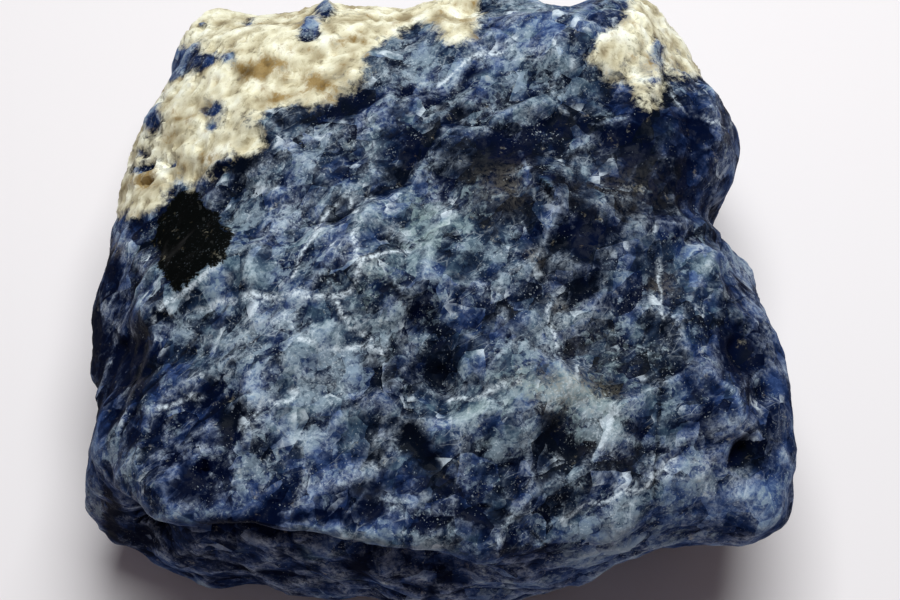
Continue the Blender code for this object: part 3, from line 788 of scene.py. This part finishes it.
def shades(points, fields, ridge, swell, crest, tone, upright):
    # the fields that the surface reads, most of them weighted sums of their parts
    parts = {name: octaves(points, *noise) for name, noise in blend["noises"].items()}
    parts |= fields
    dark = fields["dark"]
    steep = 1 - sharpen(upright, 0.3, 0.8)  # the sides are painted bluer and darker, with less haze and fewer pale lines and specks, as painted shade where less light falls
    parts |= {"ridge": ridge, "swell": swell, "crest": crest, "tone": tone - 0.5, "steep": steep,
              "darkest": sharpen(dark, 0.2, 0.9)}
    made = {name: start + sum(share * parts[part] for part, share in shares.items())
            for name, (start, shares) in blend["fields"].items()}
    made |= {name: fields[name] for name in blend["asTheyAre"]}
    # pale lines, bruises and painted crest highlights fade out in the dark
    lines = sharpen(parts["lined"], 0.05, 0.5) * (1 - 0.9 * sharpen(dark, 0.15, 0.8))
    # pale along standing creases, partly bruising and partly painted highlight, and along the pale seams
    bruiseAndHighlight = 0.85 * np.maximum(crest, 0) + 1.35 * fields["seam"]
    return made | {
        "rawness": 1.1 - 0.6 * np.clip(fields["frost"], 0, 1),
        "lines": lines * (1 - 0.6 * steep),
        "bruiseAndHighlight": bruiseAndHighlight * (1 - 0.9 * sharpen(dark, 0.15, 0.9)),
    }


def stoneSkin(points, squareTo, fields):
    # the finest breaks, added square to the form, with the calcite grainier and the black patch smoother
    calcite = sharpen(fields["calcite"], -0.3, 0.5)
    shares = skin["calm"]
    calm = 1 - shares["calcite"] * calcite - shares["black"] * sharpen(fields["black"], -1.0, 0.8)
    calm *= 1 - shares["sides"] * (1 - squareTo[:, 2] ** 2)
    calm *= 1 - shares["worn"] * fields["worn"]
    drawnOut = alongGrain(points, skin["grainStretch"])
    relief, crest, tone = np.zeros((3, len(points)))
    for size, high, crease, seed, share in skin["facets"]:
        height, apart, facet = facets(drawnOut, size, crease, seed)
        relief += high * height * calm
        crest += crease * np.exp(-apart / skin["creaseWidth"]) * share
        tone += share * facet
    size, high, seed = skin["grit"]
    relief += high * lumps(points, size, seed)
    size, high, seed = skin["sugar"]
    relief += calcite * high * (1 - np.abs(lumps(points, size, seed)) * 2)
    relief += skin["fuller"] * fields["fuller"] * sharpen(1 - np.abs(squareTo[:, 2]), 0.1, 0.7)
    relief -= skin["crackDepth"] * fields["crack"]
    relief -= skin["hollow"] * np.clip(fields["dark"], 0, 1) + skin["pitDepth"] * fields["pits"]
    return points + squareTo * relief[:, None], crest, tone


def restOnLevel(points):
    # the flat that the stone rests on: nothing goes below the level
    points[:, 2] = np.maximum(points[:, 2], 0.0)
    return points


def ridgeField(points, edges, rounds):
    # how far each point stands over the mean of its neighbours, after a few rounds of averaging
    count = np.bincount(edges.ravel(), minlength=len(points))[:, None]
    mean = points.copy()
    for _ in range(rounds):
        total = np.zeros_like(points)
        for axis in range(3):
            total[:, axis] = np.bincount(edges[:, 0], mean[edges[:, 1], axis], len(points))
            total[:, axis] += np.bincount(edges[:, 1], mean[edges[:, 0], axis], len(points))
        mean = 0.5 * mean + 0.5 * total / count
    return points - mean


def makeStone():
    cad, _ = blockGrid(*stone["cadSquares"], stone["cadSquares"][0])
    cadPoints = restOnLevel(stoneForm(cad)[0])
    shift = np.array([*(cadPoints.min(axis=0) + cadPoints.max(axis=0))[:2] / 2, 0.0])
    block, faces = blockGrid(stone["topSquares"], stone["sideSquares"], stone["underSquares"])
    points, squareTo = stoneForm(block)
    fields = mineralFields(restOnLevel(points.copy()) - shift)
    points, crest, tone = stoneSkin(points, squareTo, fields)
    points = restOnLevel(points) - shift
    print("stone form worked out:", len(points), "points")

    mesh = bpy.data.meshes.new("sodaliteStone")
    mesh.from_pydata((points * mm).tolist(), [], faces)
    mesh.update()
    edges = np.empty(len(mesh.edges) * 2, dtype=np.int32)
    mesh.edges.foreach_get("vertices", edges)
    normals = np.empty(len(points) * 3)
    mesh.vertices.foreach_get("normal", normals)
    ridge, swell = ((ridgeField(points, edges.reshape(-1, 2), rounds) * normals.reshape(-1, 3)).sum(axis=1)
                    for rounds in skin["ridgeRounds"])
    for name, values in shades(points, fields, ridge, swell, crest, tone, squareTo[:, 2]).items():
        attribute = mesh.attributes.new(name, "FLOAT", "POINT")
        attribute.data.foreach_set("value", values.astype(np.float32))
    mesh.shade_smooth()
    mesh.set_sharp_from_angle(angle=np.radians(skin["sharpAngle"]))
    mesh.materials.append(stoneMaterial())
    piece = addObject("sodaliteStone", mesh)
    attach(piece, "root")
    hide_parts("sodalite")
    print("stone meshed:", len(faces), "faces")


# the stone's surface

finish = {
    "rockRamp": [  # brightness, colour
        (0.0, (0.0018, 0.0034, 0.0085)), (0.20, (0.0042, 0.0085, 0.0225)),
        (0.40, (0.0125, 0.0245, 0.0550)), (0.60, (0.0390, 0.0680, 0.1100)),
        (0.80, (0.1120, 0.1610, 0.2080)), (1.0, (0.2550, 0.3150, 0.3650)),
    ],
    "blueRamp": [
        (0.0, (0.0010, 0.0030, 0.0150)), (0.20, (0.0032, 0.0088, 0.0350)),
        (0.40, (0.0100, 0.0235, 0.0820)), (0.60, (0.0320, 0.0600, 0.1650)),
        (0.80, (0.1050, 0.1600, 0.2950)), (1.0, (0.2600, 0.3450, 0.4700)),
    ],
    "calciteRamp": [
        (0.0, (0.30, 0.24, 0.15)), (0.35, (0.56, 0.49, 0.34)),
        (0.65, (0.80, 0.74, 0.57)), (1.0, (0.95, 0.92, 0.80)),
    ],
    "stain": (0.36, 0.255, 0.135),
    "olive": (1.04, 1.07, 0.80),
    "haze": (0.232, 0.292, 0.355),
    "warm": (0.24, 0.21, 0.18),
    # the colour of pale grains, seams and lines, and of painted glints and highlights
    "paleMarkAndGlint": (0.62, 0.67, 0.74),
    "crack": (0.004, 0.005, 0.010),
    "black": (0.0024, 0.0028, 0.0028),
    "blackLean": (0.0, -0.24, 0.04),  # the black patch faces a little further forward than its rock
    "ior": 1.48,
    "specular": 0.018,
    "glossiest": 0.12,
    # noises: size in mm, detail, roughness
    "warp": (1.2, 2.0),
    "mottle": (1.3, 4.0, 0.72),
    "grit": (0.40, 3.0, 0.75),
    "streak": (0.42, 3.0, 0.7),
    "powder": (0.19, 1.0),
    # how far the warp moves each grain, and how far it is drawn out
    "grain": (0.42, 1.5),
    "fibre": (0.9, 6.0),
    "splinter": (0.12, 3.2),
    # cleavage flats, largest first: size in mm, and how far they lean their own ways
    "cells": [(2.6, 0.15), (1.15, 0.20), (0.52, 0.14), (0.25, 0.10)],
    "gritLean": 0.35,
    "slope": 2.2,
    "edgeSize": 1.0,
    # how much of each signal is added to a tone or a share. tone, hue and slope are numbered by cell
    "sums": {
        "raw": {"mottle": 0.14, "fine": 0.26},
        # slope0 and slope1 paint each facet lighter on one side and darker on the other: painted shading
        "tone": {"tone0": 0.20, "tone1": 0.15, "tone2": 0.13, "tone3": 0.08, "raw": 1.0,
                 "slope0": 0.24, "slope1": 0.13},
        "blueness": {"hue0": 0.7, "hue1": 0.7},
        "haze": {"mottle": 1.1, "fine": 1.3, "hue1": 0.5, "hue2": 0.6, "level": 0.6},
        "specksAndGlints": {"powder": 1.0, "hue3": 0.16, "mottle": 0.35},
        # rim: painted highlights on the lit side of each facet
        "rim": {"slope0": 1.0, "slope1": 0.6, "fine": 0.8},
        "black": {"mottle": 2.8, "fine": 1.8, "tone1": 0.5},
        "cloud": {"mottle": 0.9, "tone2": 0.24, "fine": 0.6},
        "stain": {"fine": 1.6, "mottle": 2.0, "tone2": 0.5},
        "calcite": {"mottle": 3.0, "fine": 1.3, "tone1": 0.5, "tone2": 0.4},
        "gloss": {"tone2": 0.20, "haze": 0.30, "pale": 0.20, "calcite": 0.30, "matt": 1.0, "black": -0.30},
    },
    "gloss": 0.44,  # what the roughness starts from
    # smooth steps: from and to, and the values there where they aren't 0 and 1
    "steps": {
        "blueness": (0.05, 0.95), "haze": (0.10, 1.0, 0.0, 0.72), "hazeInDark": (-0.10, 0.40, 0.2, 1.0),
        "warm": (-0.15, 0.12, 0.0, 0.6), "olive": (-0.3, 0.2, 0.3, 1.0), "specksAndGlints": (0.16, 0.34, 0.0, 0.34),
        "edge": (0.05, 0.0, 0.0, 0.26), "rim": (0.16, 0.62, 0.0, 0.6), "bruiseAndHighlight": (-0.18, 0.18),
        "scratches": (0.0, 0.50), "crack": (-0.10, 0.05, 0.0, 0.8), "black": (-0.15, 0.25),
        "stain": (-0.1, 1.3), "calcite": (-0.75, 0.80),
    },
}


def putIn(tree, socket, value):
    # a link to the socket, or a number, vector or colour on it
    if isinstance(value, bpy.types.NodeSocket):
        tree.links.new(value, socket)
    elif isinstance(value, tuple) and socket.type == "RGBA":
        socket.default_value = (*value, 1.0)
    elif value is not None:
        socket.default_value = value


def mathNode(tree, operation, *values):
    node = tree.nodes.new("ShaderNodeMath")
    node.operation = operation
    for socket, value in zip(node.inputs, values):
        putIn(tree, socket, value)
    return node.outputs[0]


def vectorNode(tree, operation, first, second=None, scale=None):
    node = tree.nodes.new("ShaderNodeVectorMath")
    node.operation = operation
    putIn(tree, node.inputs[0], first)
    putIn(tree, node.inputs[1], second)
    if scale is not None:
        putIn(tree, node.inputs["Scale"], scale)
    return node.outputs["Value" if operation == "DOT_PRODUCT" else "Vector"]


def stepNode(tree, value, low, high, start=0.0, end=1.0):
    # start below low, end above high, and a smooth curve between
    node = tree.nodes.new("ShaderNodeMapRange")
    node.interpolation_type = "SMOOTHSTEP"
    for socket, given in zip(node.inputs, (value, low, high, start, end)):
        putIn(tree, socket, given)
    return node.outputs["Result"]


def noiseNode(tree, vector, size, detail, roughness=0.55):
    node = tree.nodes.new("ShaderNodeTexNoise")
    values = {"Vector": vector, "Scale": 1 / size, "Detail": detail, "Roughness": roughness}
    for name, value in values.items():
        putIn(tree, node.inputs[name], value)
    return node


def cellNode(tree, vector, size, feature="F1"):
    node = tree.nodes.new("ShaderNodeTexVoronoi")
    node.feature = feature
    for name, value in (("Vector", vector), ("Scale", 1 / size)):
        putIn(tree, node.inputs[name], value)
    return node


def mixNode(tree, share, first, second, blend="MIX"):
    node = tree.nodes.new("ShaderNodeMix")
    node.data_type = "RGBA"
    node.blend_type = blend
    node.clamp_factor = True
    for slot, value in ((0, share), (6, first), (7, second)):  # the sockets of its colour form
        putIn(tree, node.inputs[slot], value)
    return node.outputs[2]


def rampNode(tree, value, stops):
    node = tree.nodes.new("ShaderNodeValToRGB")
    ramp = node.color_ramp
    while len(ramp.elements) < len(stops):
        ramp.elements.new(0.5)
    for element, (place, colour) in zip(ramp.elements, stops):
        element.position = place
        element.color = (*colour, 1.0)
    putIn(tree, node.inputs["Fac"], value)
    return node.outputs["Color"]


def stoneMaterial():
    material = bpy.data.materials.new("sodaliteAndCalcite")
    material.use_nodes = True
    tree = material.node_tree
    shader = tree.nodes["Principled BSDF"]
    middle = (-0.5, -0.5, -0.5)
    signals = {}  # each about 0

    def field(name):
        node = tree.nodes.new("ShaderNodeAttribute")
        node.attribute_name = name
        return node.outputs["Fac"]

    def about(value, level=0.5):
        return mathNode(tree, "SUBTRACT", value, level)

    def times(first, second):
        return mathNode(tree, "MULTIPLY", first, second)

    def moved(vector, way, amount):
        return vectorNode(tree, "ADD", vector, vectorNode(tree, "SCALE", way, scale=amount))

    def summed(name, start):
        # the start, a value or a number, plus each signal by its weight
        for signal, weight in finish["sums"][name].items():
            start = mathNode(tree, "MULTIPLY_ADD", signals[signal], weight, start)
        return start

    def stepped(name, value):
        return stepNode(tree, value, *finish["steps"][name])

    def drawnOut(name):
        # places moved by the warp, turned so that the grain runs along x, and drawn out along it
        amount, stretch = finish[name]
        mapping = tree.nodes.new("ShaderNodeMapping")
        mapping.vector_type = "TEXTURE"
        putIn(tree, mapping.inputs["Vector"], moved(places, warp, amount))
        mapping.inputs["Rotation"].default_value = (0.0, 0.0, np.radians(stone["grainTurn"]))
        mapping.inputs["Scale"].default_value = (stretch, 1.0, 1.0)
        return mapping.outputs[0]

    places = tree.nodes.new("ShaderNodeTexCoord").outputs["Object"]
    places = vectorNode(tree, "SCALE", places, scale=1 / mm)
    warp = vectorNode(tree, "ADD", noiseNode(tree, places, *finish["warp"]).outputs["Color"], middle)
    bent = moved(places, warp, finish["fibre"][0])
    grain = drawnOut("grain")
    cells = []
    for i, (vector, (size, _)) in enumerate(zip((grain, grain, bent, bent), finish["cells"])):
        cell = cellNode(tree, vector, size)
        parts = tree.nodes.new("ShaderNodeSeparateColor")
        putIn(tree, parts.inputs[0], cell.outputs["Color"])
        signals[f"tone{i}"] = about(parts.outputs[0])
        signals[f"hue{i}"] = about(parts.outputs[1])
        # painted facet shading: each facet lighter towards one side and darker towards the other
        if vector == grain:  # from side to side of a facet: the offset from its centre along its own lean
            offset = vectorNode(tree, "SUBTRACT", vector, cell.outputs["Position"])
            offset = vectorNode(tree, "SCALE", offset, scale=finish["slope"] / size)
            lean = vectorNode(tree, "ADD", cell.outputs["Color"], middle)
            signals[f"slope{i}"] = vectorNode(tree, "DOT_PRODUCT", offset, lean)
        cells.append(cell)
    grit = noiseNode(tree, bent, *finish["grit"])
    signals["mottle"] = about(noiseNode(tree, bent, *finish["mottle"]).outputs["Fac"])
    signals["fine"] = about(grit.outputs["Fac"])
    signals["powder"] = about(noiseNode(tree, places, *finish["powder"]).outputs["Fac"])
    streak = about(noiseNode(tree, drawnOut("fibre"), *finish["streak"]).outputs["Fac"])

    signals["raw"] = times(summed("raw", 0.0), field("rawness"))
    tone = mathNode(tree, "MULTIPLY_ADD", streak, field("fibre"), summed("tone", field("shade")))
    signals["level"] = about(tone, 0.35)

    # clear blue facets among greyer ones
    rock = mixNode(tree, stepped("blueness", summed("blueness", field("blueness"))),
                   rampNode(tree, tone, finish["rockRamp"]), rampNode(tree, tone, finish["blueRamp"]))

    # grey haze of bruised grains, and beige and olive tints
    haze = times(stepped("haze", summed("haze", field("haze"))), stepped("hazeInDark", tone))
    rock = mixNode(tree, haze, rock, finish["haze"])
    rock = mixNode(tree, times(field("warm"), stepped("warm", signals["fine"])), rock, finish["warm"])
    olive = times(field("olive"), stepped("olive", signals["hue1"]))
    rock = mixNode(tree, olive, rock, finish["olive"], "MULTIPLY")

    # white specks and painted glints, short pale lines, painted highlights on the lit side of the facets,
    # and creases pale from bruising and painted highlight
    specksAndGlints = stepped("specksAndGlints", summed("specksAndGlints", field("specksAndGlints")))
    edge = cellNode(tree, drawnOut("splinter"), finish["edgeSize"], "DISTANCE_TO_EDGE").outputs["Distance"]
    lines = mathNode(tree, "ADD", stepped("edge", edge), stepped("rim", summed("rim", 0.0)))
    bruiseAndHighlight = times(field("bruiseAndHighlight"), stepped("bruiseAndHighlight", signals["fine"]))
    scratches = mathNode(tree, "MULTIPLY_ADD", lines, field("lines"), bruiseAndHighlight)
    pale = mathNode(tree, "MULTIPLY_ADD", scratches, stepped("scratches", tone), specksAndGlints)
    pale = mathNode(tree, "MINIMUM", pale, 0.9)
    rock = mixNode(tree, pale, rock, finish["paleMarkAndGlint"])
    rock = mixNode(tree, times(field("crack"), stepped("crack", signals["mottle"])), rock, finish["crack"])
    black = stepped("black", summed("black", field("black")))
    black = times(black, mathNode(tree, "MULTIPLY_ADD", specksAndGlints, -0.6, 1.0))
    rock = mixNode(tree, black, rock, finish["black"])

    # calcite: sugary grains, cloudy, with tan and brown stains
    pure = rampNode(tree, summed("cloud", field("cloud")), finish["calciteRamp"])
    stained = mixNode(tree, 1.0, pure, finish["stain"], "MULTIPLY")
    stained = mixNode(tree, stepped("stain", summed("stain", field("stain"))), pure, stained)
    calcite = stepped("calcite", summed("calcite", field("calcite")))
    putIn(tree, shader.inputs["Base Color"], mixNode(tree, calcite, rock, stained))

    # cleavage flats lean their own ways, so each catches the light differently
    normal = tree.nodes.new("ShaderNodeNewGeometry").outputs["Normal"]
    calm = mathNode(tree, "MAXIMUM", times(calcite, 0.7), times(black, 0.9))
    leans = [(cell, lean) for cell, (_, lean) in zip(cells, finish["cells"])] + [(grit, finish["gritLean"])]
    for source, lean in leans:
        tilt = vectorNode(tree, "ADD", source.outputs["Color"], middle)
        normal = moved(normal, tilt, mathNode(tree, "MULTIPLY_ADD", calm, -lean, lean))
    forward = tree.nodes.new("ShaderNodeCombineXYZ")
    for socket, value in zip(forward.inputs, finish["blackLean"]):
        putIn(tree, socket, value)
    normal = moved(normal, forward.outputs[0], black)
    putIn(tree, shader.inputs["Normal"], vectorNode(tree, "NORMALIZE", normal))

    signals.update(haze=haze, pale=pale, calcite=calcite, black=black, matt=field("matt"))
    gloss = mathNode(tree, "MAXIMUM", summed("gloss", finish["gloss"]), finish["glossiest"])
    putIn(tree, shader.inputs["Roughness"], gloss)
    shader.inputs["IOR"].default_value = finish["ior"]
    shader.inputs["Specular IOR Level"].default_value = finish["specular"]
    print("stone material made")
    return material


# the floor and the light

setting = {
    "floorSize": 3.0,
    "floorColour": (0.84, 0.77, 0.79),
    "floorRoughness": 0.75,
    "floorSpecular": 0.2,
    "worldColour": (1.0, 0.88, 0.92),
    "worldStrength": 0.11,
    # the soft lamp: place, width and height, power, colour, and the height that it looks at
    "lampPlace": (0.02, 0.085, 0.31),
    "lampSize": (0.22, 0.16),
    "lampPower": 1.24,
    "lampColour": (0.925, 1.0, 0.99),
    "lampAim": 0.015,
}


def makeFloor():
    half = setting["floorSize"] / 2
    mesh = bpy.data.meshes.new("floor")
    corners = [(-half, -half, 0), (half, -half, 0), (half, half, 0), (-half, half, 0)]
    mesh.from_pydata(corners, [], [(0, 1, 2, 3)])
    material = bpy.data.materials.new("paleFloor")
    material.use_nodes = True
    shader = material.node_tree.nodes["Principled BSDF"]
    shader.inputs["Base Color"].default_value = (*setting["floorColour"], 1.0)
    shader.inputs["Roughness"].default_value = setting["floorRoughness"]
    shader.inputs["Specular IOR Level"].default_value = setting["floorSpecular"]
    mesh.materials.append(material)
    addObject("floor", mesh)
    print("floor laid")


def makeLight():
    world = bpy.data.worlds.new("room")
    world.use_nodes = True
    background = world.node_tree.nodes["Background"]
    background.inputs["Color"].default_value = (*setting["worldColour"], 1.0)
    background.inputs["Strength"].default_value = setting["worldStrength"]
    bpy.context.scene.world = world
    data = bpy.data.lights.new("window", "AREA")
    data.shape = "RECTANGLE"
    data.size, data.size_y = setting["lampSize"]
    data.energy = setting["lampPower"]
    data.color = setting["lampColour"]
    back = np.array(setting["lampPlace"]) - [0.0, 0.0, setting["lampAim"]]
    back /= np.linalg.norm(back)
    side = np.cross([0.0, 0.0, 1.0], back)
    side /= np.linalg.norm(side)
    addObject("window", data, (side, np.cross(back, side), back), setting["lampPlace"])
    bpy.context.scene.view_settings.view_transform = "Standard"
    print("lights set")


makeCamera()
makeStone()
makeFloor()
makeLight()
